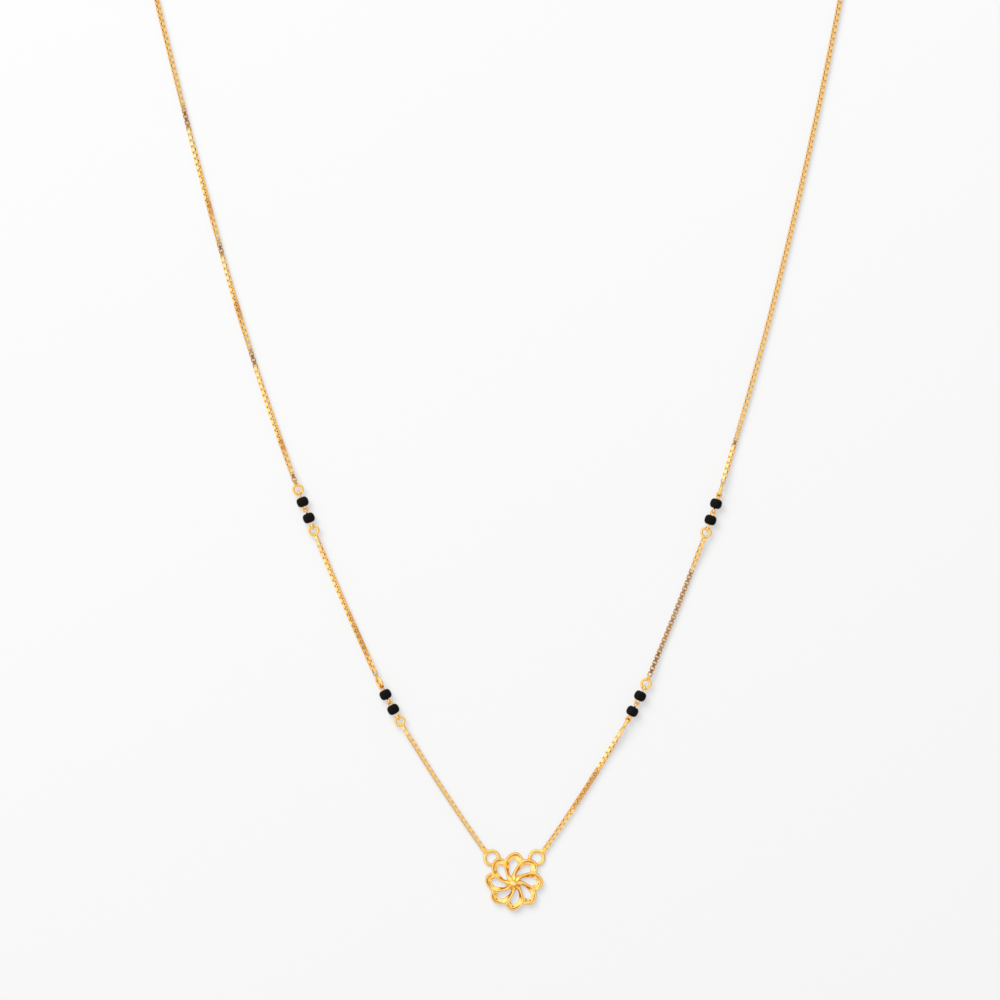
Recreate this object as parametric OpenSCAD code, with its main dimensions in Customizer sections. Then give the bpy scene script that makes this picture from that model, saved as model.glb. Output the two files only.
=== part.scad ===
// A short mangalsutra laid out flat: one pierced flower pendant of eight turned petals, soldered to two
// fine box chains, with a pair of black beads held on wire links at two places on each side, and a plain
// S hook that closes the loop behind the neck.
// The frame: +Z up, +Y from the pendant towards the clasp. The origin is on the flat back of the flower.

/* [Flower] */
// Petals round the flower
petal_count = 8; // [8:1:8]
// Distance from the middle of the flower to a petal's tip
flower_r = 4.25; // [4.15:0.05:4.35]
// Height of the crest that runs along each petal
crest_h = 0.95; // [0.85:0.05:1.1]
// Height of the strap's low edge beside the opening
low_edge_h = 0.4; // [0.3:0.05:0.5]
// Radius of the small cut dome in the middle
dome_r = 0.58; // [0.5:0.02:0.64]
// Height of the dome's top above the back
dome_h = 1.35; // [1.2:0.05:1.5]

/* [Ears] */
// Radius of an ear's ring, to the middle of its wire
ear_r = 1.01; // [0.98:0.01:1.04]
// Thickness of an ear's wire
ear_wire = 0.53; // [0.46:0.01:0.56]

/* [Box chain] */
// Outer width and height of one box link
box_size = 0.7; // [0.66:0.01:0.74]
// Outer length of a box link along the chain
box_l = 0.67; // [0.65:0.01:0.7]
// Width of the strip that a box link is folded from
strip_w = 0.42; // [0.36:0.02:0.42]
// Thickness of that strip
strip_t = 0.11; // [0.1:0.01:0.12]
// Distance from one box link to the next
link_pitch = 0.447; // [0.445:0.001:0.449]

/* [Beads] */
// Largest diameter of a bead
bead_d = 1.75; // [1.7:0.05:1.8]
// Length of a bead along its hole
bead_l = 1.4; // [1.3:0.05:1.4]
// Radius of a bead's rounded shoulders
bead_round = 0.42; // [0.36:0.02:0.46]
// Diameter of the hole through a bead
bead_bore = 0.78; // [0.76:0.02:0.8]

/* [Links and rings] */
// Thickness of the wire of a bead's link
link_wire = 0.28; // [0.24:0.01:0.28]
// Radius of a ring at a chain's end, to the middle of its wire
ring_r = 0.645; // [0.64:0.005:0.655]
// Thickness of that ring's wire
ring_wire = 0.41; // [0.36:0.01:0.41]

/* [Clasp] */
// Thickness of the S hook's wire
hook_wire = 0.7; // [0.6:0.05:0.7]
// Radius of each of the hook's two bends, to the middle of the wire
hook_r = 1.1; // [1.1:0.05:1.3]
// Radius of the ring that the hook holds, to the middle of its wire
clasp_ring_r = 0.85; // [0.85:0.01:0.87]
// Thickness of that ring's wire
clasp_ring_wire = 0.5; // [0.44:0.02:0.5]

/* [Hidden] */

gold = [0.93, 0.72, 0.25];
black = [0.08, 0.08, 0.09];
gap = 0.03;
chain_gap = 0.1;
radian = 180 / PI;

// The route of each side, from the pendant to the photograph's edge, as arcs on the surface. The heading
// is counted in degrees outwards from +Y, so a turn with a minus bends the chain back towards the middle.
start_x = 4.3;
start_y = 4.45;
start_heading = 35.5;
ROW_LENGTH = 0;
ROW_TURN = 1;
//             length, turn
right_rows = [[21.5, -5.4], [8.3, -7], [22, -3], [8.3, -2.9], [36, -3.9], [38.5, -2.7]];
left_rows = [[21.5, -4.6], [8.3, -6.1], [22, -2.8], [8.3, -1.7], [36, -5], [38.5, -1.9]];

// Box links in the lower and the middle stretch of each side, counted from soldered link to soldered link
right_lower_links = 47;
right_middle_links = 48;
left_lower_links = 48;
left_middle_links = 49;

// A pair of beads, from the middle of its inner ring to the middle of its outer ring
ring_to_link = 1.1;
pair_l = 6.38;
link_half = (pair_l - 2 * (ring_r - ring_wire / 2) + 3 * gap) / 4;
inner_link_at = ring_r - ring_wire / 2 - gap + link_half;
inner_bead_at = 1.94;
group_l = pair_l + 2 * ring_to_link;

// How each pair's pieces are turned about the chain, in degrees: 0 lies flat and 90 stands on edge.
// An inner end is the one nearer the pendant. slack is by how much the pair lies short of its full length.
INNER_RING = 0;
INNER_LINK_IN = 1;
INNER_LINK_OUT = 2;
OUTER_LINK_IN = 3;
OUTER_LINK_OUT = 4;
OUTER_RING = 5;
SLACK = 6;
//                   inner ring, inner link in, out, outer link in, out, outer ring, slack
right_lower_pair = [90, 0, 90, 0, 90, 0, 0];
right_upper_pair = [0, 90, 0, 90, 0, 90, 0];
left_lower_pair = [0, 90, 0, 90, 30, 60, 0.09];
left_upper_pair = [0, 90, 90, 0, 90, 0, 0];

// Heights of the middle of the wire above the surface
chain_r = 0.41;
chain_z = 0.38;
bead_z = bead_d / 2;
clasp_z = clasp_ring_r + clasp_ring_wire / 2;
hook_z = clasp_ring_wire + gap + hook_wire / 2;
bead_ramp = 4.5;
clasp_ramp = 7.5;

// The clasp's own lengths, from the middle of the hook
hook_arm = 2;
clasp_ring_at = hook_arm + hook_r + 0.08;
clasp_ring_to_link = 1.3;
clasp_half = clasp_ring_at + clasp_ring_to_link;

// The pose at the end of an arc that starts at a pose [x, y, heading]
function arc_pose(p, l, turn) =
    let (half = turn / 2, chord = half == 0 ? l : l * sin(half) / (half / radian))
    [p.x + chord * sin(p.z + half), p.y + chord * cos(p.z + half), p.z + turn];

// The pose at a distance s along a table of arcs
function route_pose(rows, s, p, i = 0) =
    let (l = rows[i][ROW_LENGTH], turn = rows[i][ROW_TURN])
    (i == len(rows) - 1 || s <= l) ? arc_pose(p, s, turn * s / l)
        : route_pose(rows, s - l, arc_pose(p, l, turn), i + 1);

function rows_length(rows, i = 0) = i == len(rows) ? 0 : rows[i][ROW_LENGTH] + rows_length(rows, i + 1);

// One more arc on each side closes the loop: both arrive at the clasp square to +Y and at the same height
start_pose = [start_x, start_y, start_heading];
right_edge = route_pose(right_rows, rows_length(right_rows), start_pose);
left_edge = route_pose(left_rows, rows_length(left_rows), start_pose);
right_rise = 1 + sin(right_edge.z);
left_rise = 1 + sin(left_edge.z);
edge_span = right_edge.x + left_edge.x - 2 * clasp_half;
edge_step = left_edge.y - right_edge.y;
left_arc_r = (edge_span - cos(right_edge.z) * edge_step / right_rise)
    / (cos(left_edge.z) + cos(right_edge.z) * left_rise / right_rise);
right_arc_r = (edge_step + left_rise * left_arc_r) / right_rise;
right_turn = 90 + right_edge.z;
left_turn = 90 + left_edge.z;
right_route = concat(right_rows, [[right_arc_r * right_turn / radian, -right_turn]]);
left_route = concat(left_rows, [[left_arc_r * left_turn / radian, -left_turn]]);
right_end = rows_length(right_route);
left_end = rows_length(left_route);
clasp_x = right_edge.x - right_arc_r * cos(right_edge.z) - clasp_half;
clasp_y = right_edge.y + right_arc_r * right_rise;

// Where each side's stretches begin and end, counted along its route from soldered link to soldered link
right_lower_end = right_lower_links * link_pitch;
right_middle_start = right_lower_end + group_l - right_lower_pair[SLACK];
right_middle_end = right_middle_start + right_middle_links * link_pitch;
right_upper_start = right_middle_end + group_l - right_upper_pair[SLACK];
left_lower_end = left_lower_links * link_pitch;
left_middle_start = left_lower_end + group_l - left_lower_pair[SLACK];
left_middle_end = left_middle_start + left_middle_links * link_pitch;
left_upper_start = left_middle_end + group_l - left_upper_pair[SLACK];

function blend(t) = let (u = min(max(t, 0), 1)) u * u * (3 - 2 * u);

function side_route(side) = side > 0 ? right_route : left_route;

// A point of the route in the frame: side is 1 for the right side and -1 for the left
function route_point(side, s, z) = let (p = route_pose(side_route(side), s, start_pose)) [side * p.x, p.y, z];

// Height of a chain between two ends that are held up at z_from and z_to
function chain_height(s, from, to, z_from, z_to, ramp_to) =
    chain_z + (z_from - chain_z) * blend(1 - (s - from) / bead_ramp)
        + (z_to - chain_z) * blend(1 - (to - s) / ramp_to);

// A round wire of n sides swept along a list of points. up[i] is a direction that keeps it from turning.
function unit(v) = v / norm(v);
function along(pts, i, closed) =
    let (n = len(pts))
    closed ? unit(pts[(i + 1) % n] - pts[(i + n - 1) % n])
        : unit(pts[min(i + 1, n - 1)] - pts[max(i - 1, 0)]);
function wire_points(pts, up, r, n, closed) = [
    for (i = [0:len(pts) - 1])
        let (t = along(pts, i, closed), b = unit(cross(t, up[i])), c = cross(b, t))
        for (k = [0:n - 1])
            let (a = (k + 0.5) * 360 / n)
            pts[i] + r * (cos(a) * b + sin(a) * c)
];
function both_halves(quads) = [for (q = quads) each [[q[0], q[1], q[2]], [q[0], q[2], q[3]]]];
function wire_faces(count, n, closed) = concat(
    both_halves([
        for (i = [0:count - (closed ? 1 : 2)], k = [0:n - 1])
            let (j = (i + 1) % count, m = (k + 1) % n)
            [i * n + m, i * n + k, j * n + k, j * n + m]
    ]),
    closed ? [] : [[for (k = [0:n - 1]) k], [for (k = [n - 1:-1:0]) (count - 1) * n + k]]
);

module wire(pts, up, d, n, closed = false) {
    polyhedron(wire_points(pts, up, d / 2, n, closed), wire_faces(len(pts), n, closed), convexity = 6);
}

// Places a child at a distance s along a side's route, with its own +X pointing away from the pendant
module on_route(side, s, z) {
    p = route_pose(side_route(side), s, start_pose);
    translate([side * p.x, p.y, z]) rotate([0, 0, 90 - side * p.z]) children();
}

// One box link, folded from flat strip, standing in its own XZ plane
module box_link() {
    difference() {
        cube([box_l, strip_w, box_size], center = true);
        cube([box_l - 2 * strip_t, 1, box_size - 2 * strip_t], center = true);
    }
}

// A petal's strap in the petal's own frame, with +X towards its tip. The rows run from the middle of the
// flower out along one side, round the tip and back to the next petal's strap: the strap's outer rim, and
// the edge of the opening that it goes round.
RIM_X = 0;
RIM_Y = 1;
EDGE_X = 2;
EDGE_Y = 3;
//       rim x, rim y, edge x, edge y
strap = [
    [0.42, 0.91, 0.94, 0.35],
    [1.00, 1.13, 1.17, 0.60],
    [1.60, 1.28, 1.60, 0.72],
    [2.28, 1.41, 2.10, 0.73],
    [2.76, 1.43, 2.50, 0.70],
    [3.20, 1.32, 2.82, 0.62],
    [3.64, 1.00, 3.08, 0.43],
    [4.02, 0.52, 3.26, 0.20],
    [4.24, -0.05, 3.31, -0.06],
    [4.14, -0.65, 3.20, -0.30],
    [3.80, -1.02, 2.97, -0.46],
    [3.46, -1.23, 2.74, -0.58]
];
strap_r = 4.25;
// The strap's last station lies on the rim of the petal before it, from row 3 to row 5
steps = [each [0:0.5:3], 4, each [5:0.5:11]];
station_count = len(steps);
seat_edge = 6;
seat_crest = 7;
seat_rim = 8;
crest_in = 0.17;
shoulder_h = 0.7;
hub_h = 0.62;
hub_crest_drop = 0.1;
// The dome sits a little below the middle of the outline, and the straps run to it
dome_shift = [-0.06, -0.25];

// A smooth curve through the rows of the strap's table
function strap_row(i) = strap[min(max(i, 0), len(strap) - 1)];
function strap_at(u) =
    let (
        i = min(floor(u), len(strap) - 2),
        f = u - i,
        a = strap_row(i - 1), b = strap_row(i), c = strap_row(i + 1), d = strap_row(i + 2)
    )
    0.5 * (2 * b + (c - a) * f + (2 * a - 5 * b + 4 * c - d) * f * f + (3 * b - a - 3 * c + d) * f * f * f);
function turned(p, a) = [p.x * cos(a) - p.y * sin(a), p.x * sin(a) + p.y * cos(a)];
function shifted(p) = p + dome_shift * max(0, 1 - norm(p) / flower_r);
function on_petal(p, a, z) = let (q = shifted(turned(p * flower_r / strap_r, a))) [q.x, q.y, z];

// The three lines of a strap, which are its rim, its crest and its low edge, at one station
RIM = 0;
CREST = 1;
EDGE = 2;
LINES = 3;
function strap_point(i, line, a) =
    let (
        row = strap_at(steps[i]),
        rim = [row[RIM_X], row[RIM_Y]],
        edge = [row[EDGE_X], row[EDGE_Y]],
        rise = blend(steps[i])
    )
    line == RIM ? on_petal(rim, a, hub_h + (shoulder_h - hub_h) * rise)
    : line == EDGE ? on_petal(edge, a, hub_h + (low_edge_h - hub_h) * rise)
    : on_petal(rim + crest_in * unit(edge - rim), a, crest_h - hub_crest_drop * (1 - rise));

// Rings of the dome from its seat up, radius and height, with two points to each petal
dome_rings = [[dome_r, 0.74], [dome_r, 1.0], [dome_r * 0.82, 1.2], [dome_r * 0.42, dome_h]];
dome_turn = 21;
ring_points = 2 * petal_count;
strap_points = petal_count * station_count * LINES;
dome_first = 2 * strap_points;
dome_last = dome_first + len(dome_rings) * ring_points;
function dome_point(ring, j) =
    let (a = dome_turn + 360 * j / ring_points)
    [dome_shift.x + ring[0] * cos(a), dome_shift.y + ring[0] * sin(a), ring[1]];

flower_points = concat(
    [for (flat = [0, 1], k = [0:petal_count - 1], i = [0:station_count - 1], line = [0:LINES - 1])
        let (p = strap_point(i, line, 360 * k / petal_count))
        [p.x, p.y, flat == 1 ? 0 : p.z]],
    [for (ring = dome_rings, j = [0:ring_points - 1]) dome_point(ring, j)],
    [[dome_shift.x, dome_shift.y, dome_h], [dome_shift.x, dome_shift.y, 0]]
);

// The number of a strap's point. The last station's points, and the edge's first, are the rim of the petal
// before it. flat is 1 on the back and 0 on the front.
function at(k, i, line, flat) =
    i == station_count ? at(k - 1, [seat_rim, seat_crest, seat_edge][line], RIM, flat)
    : (i == 0 && line == EDGE) ? at(k - 1, 0, RIM, flat)
    : flat * strap_points + ((k + petal_count) % petal_count * station_count + i) * LINES + line;

// The hub's ring round the dome: even numbers are the notches between straps and odd numbers their crests
function hub(j, flat) =
    let (k = floor(j / 2) + petal_count) j % 2 == 0 ? at(k, 0, EDGE, flat) : at(k, 0, CREST, flat);
function dome_at(r, j) = dome_first + r * ring_points + j % ring_points;
function wrapped(j) = j % ring_points;

flower_faces = concat(
    both_halves([
        for (k = [0:petal_count - 1], i = [0:station_count - 1], line = [RIM, CREST])
            [at(k, i, line, 0), at(k, i + 1, line, 0), at(k, i + 1, line + 1, 0), at(k, i, line + 1, 0)]
    ]),
    both_halves([
        for (k = [0:petal_count - 1], i = [0:station_count - 1], line = [RIM, CREST])
            [at(k, i, line, 1), at(k, i, line + 1, 1), at(k, i + 1, line + 1, 1), at(k, i + 1, line, 1)]
    ]),
    both_halves([
        for (k = [0:petal_count - 1], i = [0:station_count - 1])
            [at(k, i, EDGE, 0), at(k, i + 1, EDGE, 0), at(k, i + 1, EDGE, 1), at(k, i, EDGE, 1)]
    ]),
    both_halves([
        for (k = [0:petal_count - 1], i = [0:station_count - 1]) if (i < seat_edge || i >= seat_rim)
            [at(k, i, RIM, 0), at(k, i, RIM, 1), at(k, i + 1, RIM, 1), at(k, i + 1, RIM, 0)]
    ]),
    both_halves([
        for (j = [0:ring_points - 1])
            [hub(j, 0), dome_at(0, j), dome_at(0, j + 1), hub(wrapped(j + 1), 0)]
    ]),
    both_halves([
        for (r = [0:len(dome_rings) - 2], j = [0:ring_points - 1])
            [dome_at(r, j), dome_at(r + 1, j), dome_at(r + 1, j + 1), dome_at(r, j + 1)]
    ]),
    [for (j = [0:ring_points - 1])
        let (top = len(dome_rings) - 1)
        [dome_at(top, j), dome_last, dome_at(top, j + 1)]],
    [for (j = [0:ring_points - 1]) [hub(j, 1), hub(wrapped(j + 1), 1), dome_last + 1]]
);

ear_at = [3.27, 3.4];
ear_z = 0.29;

// A ring of round wire with its web of solder: the web's sides leave the ring at 45 degrees and come
// together to the width of the box link that it is soldered to, on the ring's +X side
web_half = 0.35;
module soldered_ring(r, w) {
    corner = sqrt(2) * (r + w * 0.44);
    rotate_extrude($fn = 48) translate([r, 0]) circle(d = w, $fn = 24);
    difference() {
        linear_extrude(height = w * 0.8, center = true)
            polygon([[r / 2, r], [corner / 2, corner / 2], [corner - web_half, web_half],
                [corner - web_half, -web_half], [corner / 2, -corner / 2], [r / 2, -r]]);
        cylinder(r = r, h = 2, center = true, $fn = 48);
    }
}

// A flat ring behind the petals, soldered to the chain's first link
module ear() {
    translate([ear_at.x, ear_at.y, ear_z]) rotate([0, 0, atan2(start_y - ear_at.y, start_x - ear_at.x)])
        soldered_ring(ear_r, ear_wire);
    on_route(1, 0, chain_z) box_link();
}

module flower_pendant() {
    color(gold) {
        polyhedron(flower_points, flower_faces, convexity = 8);
        ear();
        mirror([1, 0, 0]) ear();
    }
}

// The plain body of a stretch of chain between two soldered links
module chain(side, from, to, z_from, z_to, ramp_to, rings) {
    first = from + box_l / 2 + chain_gap;
    last = to - box_l / 2 - chain_gap;
    middle_first = from + bead_ramp;
    middle_last = to - ramp_to;
    spans = rings - 5;
    s = concat(
        [first, from + bead_ramp / 2],
        [for (i = [0:spans]) middle_first + (middle_last - middle_first) * i / spans],
        [to - ramp_to / 2, last]
    );
    pts = [for (v = s) route_point(side, v, chain_height(v, from, to, z_from, z_to, ramp_to))];
    color(gold) wire(pts, [for (v = s) [0, 0, 1]], 2 * chain_r, 8);
}

// A ring soldered to the last link of a chain, at a distance s along the route. out is 1 where the chain goes
// on outwards from the ring, and -1 where it goes back to the pendant.
module end_ring(side, s, out, roll, z = bead_z, r = ring_r, w = ring_wire, reach = ring_to_link) {
    color(gold) on_route(side, s, z) rotate([0, 0, out > 0 ? 180 : 0]) {
        box_link();
        translate([reach, 0, 0]) rotate([roll, 0, 0]) rotate([0, 0, 180]) soldered_ring(r, w);
    }
}

// The middle line of a bead's link in its own frame, with +X along it: two strands that lie side by side
// in the bead, and open at each end into a round eye
strand_steps = 12;
crown_steps = 6;
link_stations = 2 * (strand_steps + crown_steps);
eye_r = 0.37;
strand_in = link_wire / 2 + 0.016;
eye_at = link_half + link_wire / 2 - eye_r;
pinch_half = 0.7;

function strand_offset(u) =
    strand_in + (eye_r - strand_in) * blend((abs(u) - pinch_half) / (eye_at - pinch_half));
function link_flat(i) =
    i < strand_steps ? let (u = eye_at * (2 * i / strand_steps - 1)) [u, strand_offset(u)]
    : i < strand_steps + crown_steps ? let (a = 180 * (i - strand_steps) / crown_steps)
        [eye_at + eye_r * sin(a), eye_r * cos(a)]
    : -link_flat(i - strand_steps - crown_steps);
function link_roll(u, roll_in, roll_out) = roll_in + (roll_out - roll_in) * blend((u / pinch_half + 1) / 2);

module bead_link(side, s, roll_in, roll_out) {
    flat = [for (i = [0:link_stations - 1]) link_flat(i)];
    rolls = [for (p = flat) link_roll(p.x, roll_in, roll_out)];
    pts = [for (i = [0:link_stations - 1]) [flat[i].x, flat[i].y * cos(rolls[i]), flat[i].y * sin(rolls[i])]];
    up = [for (a = rolls) [0, -sin(a), cos(a)]];
    color(gold) on_route(side, s, bead_z) wire(pts, up, link_wire, 6, closed = true);
}

// Half of a bead's section: a straight side between two round shoulders
module bead_section() {
    waist = bead_l / 2 - bead_round;
    for (y = [-waist, waist]) translate([bead_d / 2 - bead_round, y]) circle(r = bead_round, $fn = 64);
    translate([0, -waist]) square([bead_d / 2, 2 * waist]);
    translate([0, -bead_l / 2]) square([bead_d / 2 - bead_round, bead_l]);
}

// A black barrel bead, drilled for its link
module bead(side, s) {
    color(black) on_route(side, s, bead_z) rotate([0, 90, 0])
        rotate_extrude($fn = 64) intersection() {
            bead_section();
            translate([bead_bore / 2, -bead_l / 2]) square([bead_d, bead_l]);
        }
}

// The plain S hook lies flat, and holds the two clasp rings in its bends
hook_bend_steps = 9;
hook_tip = 1.1;
function hook_half() = concat(
    [[hook_arm - hook_tip, hook_r]],
    [for (i = [0:hook_bend_steps]) let (a = 90 - 180 * i / hook_bend_steps)
        [hook_arm + hook_r * cos(a), hook_r * sin(a)]],
    [[hook_arm * 0.55, -hook_r * 0.75]]
);

module s_hook() {
    half = hook_half();
    n = len(half);
    line = concat(half, [[0, 0]], [for (i = [n - 1:-1:0]) -half[i]]);
    pts = [for (p = line) [clasp_x + p.x, clasp_y + p.y, hook_z]];
    color(gold) wire(pts, [for (p = line) [0, 0, 1]], hook_wire, 10);
}

module clasp_ring(side, end) {
    end_ring(side, end, -1, 90, clasp_z, clasp_ring_r, clasp_ring_wire, clasp_ring_to_link);
}

// The pieces of a pair, placed from the soldered link that its inner ring hangs on. A ninth of its slack
// lies at each ring, and the rest where its two links meet.
function ring_slack(pair) = pair[SLACK] / 9;
function inner_ring_at(start) = start + ring_to_link;
function outer_ring_at(start, pair) = start + group_l - pair[SLACK] - ring_to_link;

module inner_ring(side, start, pair) {
    end_ring(side, start, -1, pair[INNER_RING]);
}

module outer_ring(side, start, pair) {
    end_ring(side, start + group_l - pair[SLACK], 1, pair[OUTER_RING]);
}

module inner_link(side, start, pair) {
    at = inner_ring_at(start) + inner_link_at - ring_slack(pair);
    bead_link(side, at, pair[INNER_LINK_IN], pair[INNER_LINK_OUT]);
}

module outer_link(side, start, pair) {
    at = outer_ring_at(start, pair) - inner_link_at + ring_slack(pair);
    bead_link(side, at, pair[OUTER_LINK_IN], pair[OUTER_LINK_OUT]);
}

module inner_bead(side, start, pair) {
    bead(side, inner_ring_at(start) + inner_bead_at - ring_slack(pair));
}

module outer_bead(side, start, pair) {
    bead(side, outer_ring_at(start, pair) - inner_bead_at + ring_slack(pair));
}

flower_pendant();
chain(1, 0, right_lower_end, chain_z, bead_z, bead_ramp, 7);  // right_lower_chain
chain(1, right_middle_start, right_middle_end, bead_z, bead_z, bead_ramp, 7);  // right_middle_chain
chain(1, right_upper_start, right_end, bead_z, clasp_z, clasp_ramp, 26);  // right_upper_chain
chain(-1, 0, left_lower_end, chain_z, bead_z, bead_ramp, 7);  // left_lower_chain
chain(-1, left_middle_start, left_middle_end, bead_z, bead_z, bead_ramp, 7);  // left_middle_chain
chain(-1, left_upper_start, left_end, bead_z, clasp_z, clasp_ramp, 26);  // left_upper_chain
inner_ring(1, right_lower_end, right_lower_pair);  // right_lower_inner_ring
inner_link(1, right_lower_end, right_lower_pair);  // right_lower_inner_link
inner_bead(1, right_lower_end, right_lower_pair);  // right_lower_inner_bead
outer_bead(1, right_lower_end, right_lower_pair);  // right_lower_outer_bead
outer_link(1, right_lower_end, right_lower_pair);  // right_lower_outer_link
outer_ring(1, right_lower_end, right_lower_pair);  // right_lower_outer_ring
inner_ring(1, right_middle_end, right_upper_pair);  // right_upper_inner_ring
inner_link(1, right_middle_end, right_upper_pair);  // right_upper_inner_link
inner_bead(1, right_middle_end, right_upper_pair);  // right_upper_inner_bead
outer_bead(1, right_middle_end, right_upper_pair);  // right_upper_outer_bead
outer_link(1, right_middle_end, right_upper_pair);  // right_upper_outer_link
outer_ring(1, right_middle_end, right_upper_pair);  // right_upper_outer_ring
inner_ring(-1, left_lower_end, left_lower_pair);  // left_lower_inner_ring
inner_link(-1, left_lower_end, left_lower_pair);  // left_lower_inner_link
inner_bead(-1, left_lower_end, left_lower_pair);  // left_lower_inner_bead
outer_bead(-1, left_lower_end, left_lower_pair);  // left_lower_outer_bead
outer_link(-1, left_lower_end, left_lower_pair);  // left_lower_outer_link
outer_ring(-1, left_lower_end, left_lower_pair);  // left_lower_outer_ring
inner_ring(-1, left_middle_end, left_upper_pair);  // left_upper_inner_ring
inner_link(-1, left_middle_end, left_upper_pair);  // left_upper_inner_link
inner_bead(-1, left_middle_end, left_upper_pair);  // left_upper_inner_bead
outer_bead(-1, left_middle_end, left_upper_pair);  // left_upper_outer_bead
outer_link(-1, left_middle_end, left_upper_pair);  // left_upper_outer_link
outer_ring(-1, left_middle_end, left_upper_pair);  // left_upper_outer_ring
clasp_ring(1, right_end);  // right_clasp_ring
clasp_ring(-1, left_end);  // left_clasp_ring
s_hook();
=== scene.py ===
"""A short gold mangalsutra laid flat on a pale table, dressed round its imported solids.

Every piece is modelled in millimetres and brought to metres when it is finished. The frame is that of the
solids: +Z up, +Y from the flower towards the clasp, and the origin on the flower's flat back.
"""

import contextlib
import logging
import math
import random
from collections.abc import Callable, Iterator, Sequence
from dataclasses import dataclass, field
from enum import Enum

import bmesh
import bpy
from mathutils import Matrix, Vector

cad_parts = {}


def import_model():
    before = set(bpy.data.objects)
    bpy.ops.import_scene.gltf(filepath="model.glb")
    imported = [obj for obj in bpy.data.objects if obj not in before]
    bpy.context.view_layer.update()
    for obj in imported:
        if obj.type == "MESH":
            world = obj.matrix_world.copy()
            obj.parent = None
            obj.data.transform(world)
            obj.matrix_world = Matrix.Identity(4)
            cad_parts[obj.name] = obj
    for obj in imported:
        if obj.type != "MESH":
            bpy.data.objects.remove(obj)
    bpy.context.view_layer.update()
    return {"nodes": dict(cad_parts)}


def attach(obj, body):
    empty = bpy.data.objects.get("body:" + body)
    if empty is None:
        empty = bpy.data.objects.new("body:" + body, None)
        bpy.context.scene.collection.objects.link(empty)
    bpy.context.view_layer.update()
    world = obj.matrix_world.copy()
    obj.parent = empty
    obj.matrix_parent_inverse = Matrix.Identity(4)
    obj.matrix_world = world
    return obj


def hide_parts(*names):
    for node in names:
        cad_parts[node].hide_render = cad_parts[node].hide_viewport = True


LOG = logging.getLogger("mangalsutra")
MM = 0.001
FLOOR_DROP = 0.02
SMOOTH_ANGLE = 26.0
ROLL_PLAY = 1.2
BUMP_HEIGHT = 0.01 * MM
TOUCHING = 0.001
NEAR = 0.01
Shape = bpy.types.Object
Place = Sequence[float]
ORIGIN = (0.0, 0.0, 0.0)


def deselect() -> None:
    """Deselects every object, so that the next operator acts on nothing else."""
    bpy.ops.object.select_all(action="DESELECT")


def pick(first: Shape, *others: Shape) -> None:
    """Selects objects and nothing else.

    Args:
        first: The object that becomes the active one.
        others: The rest of the selection.
    """
    deselect()
    for shape in (first, *others):
        shape.select_set(True)
    bpy.context.view_layer.objects.active = first


@contextlib.contextmanager
def editing(shape: Shape) -> Iterator[None]:
    """Opens an object in edit mode with nothing selected, and closes it again.

    Args:
        shape: The object to edit.
    """
    pick(shape)
    bpy.ops.object.mode_set(mode="EDIT")
    bpy.ops.mesh.select_all(action="DESELECT")
    yield
    bpy.ops.object.mode_set(mode="OBJECT")


def _mark(shape: Shape, parts: str, mode: str, test: Callable[..., bool]) -> int:
    """Selects those vertices, edges or faces of the edited mesh that pass a test.

    Args:
        shape: The object that is open in edit mode.
        parts: The name of the element list, which is verts, edges or faces.
        mode: The select mode that goes with it.
        test: Says of one element whether it is wanted.

    Returns:
        How many elements were selected.
    """
    bpy.ops.mesh.select_mode(type=mode)
    bpy.ops.mesh.select_all(action="DESELECT")
    mesh = bmesh.from_edit_mesh(shape.data)
    wanted = [part for part in getattr(mesh, parts) if test(part)]
    for part in wanted:
        part.select_set(True)
    mesh.select_flush_mode()
    bmesh.update_edit_mesh(shape.data)
    return len(wanted)


def select_all() -> None:
    """Selects the whole of the edited mesh."""
    bpy.ops.mesh.select_all(action="SELECT")


def select_points(shape: Shape, test: Callable[[Vector], bool]) -> int:
    """Selects the vertices whose place passes a test, and returns how many there are."""
    return _mark(shape, "verts", "VERT", lambda vertex: test(vertex.co))


def select_faces(shape: Shape, test: Callable[[Vector, Vector], bool]) -> int:
    """Selects the faces whose centre and normal pass a test, and returns how many there are."""
    return _mark(shape, "faces", "FACE", lambda face: test(face.calc_center_median(), face.normal))


def select_edges(shape: Shape, test: Callable[[Vector, Vector], bool], rims: bool = False) -> int:
    """Selects the edges whose two ends pass a test.

    Args:
        shape: The object that is open in edit mode.
        test: Says of an edge's two ends whether it is wanted.
        rims: Takes only the edges of open rims.

    Returns:
        How many edges were selected.
    """
    return _mark(
        shape, "edges", "EDGE",
        lambda edge: (not rims or edge.is_boundary) and test(edge.verts[0].co, edge.verts[1].co),
    )


def shift(by: Place) -> None:
    """Moves the selection by a vector."""
    bpy.ops.transform.translate(value=tuple(by))


def grow(by: Place, about: Place = ORIGIN) -> None:
    """Scales the selection along X, Y and Z about a point."""
    bpy.ops.transform.resize(value=tuple(by), center_override=tuple(about))


def turn(degrees: float, axis: str = "Z", about: Place = ORIGIN) -> None:
    """Turns the selection counter-clockwise about an axis through a point."""
    bpy.ops.transform.rotate(value=-math.radians(degrees), orient_axis=axis, center_override=tuple(about))


def extrude(by: Place = ORIGIN) -> None:
    """Extrudes the selected faces or edges and moves the new ones by a vector."""
    bpy.ops.mesh.extrude_region_move(TRANSFORM_OT_translate={"value": tuple(by)})


def close_doubles() -> None:
    """Merges the edited mesh's coinciding vertices and turns all its faces outwards."""
    select_all()
    bpy.ops.mesh.remove_doubles(threshold=TOUCHING)
    bpy.ops.mesh.normals_make_consistent(inside=False)


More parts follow.
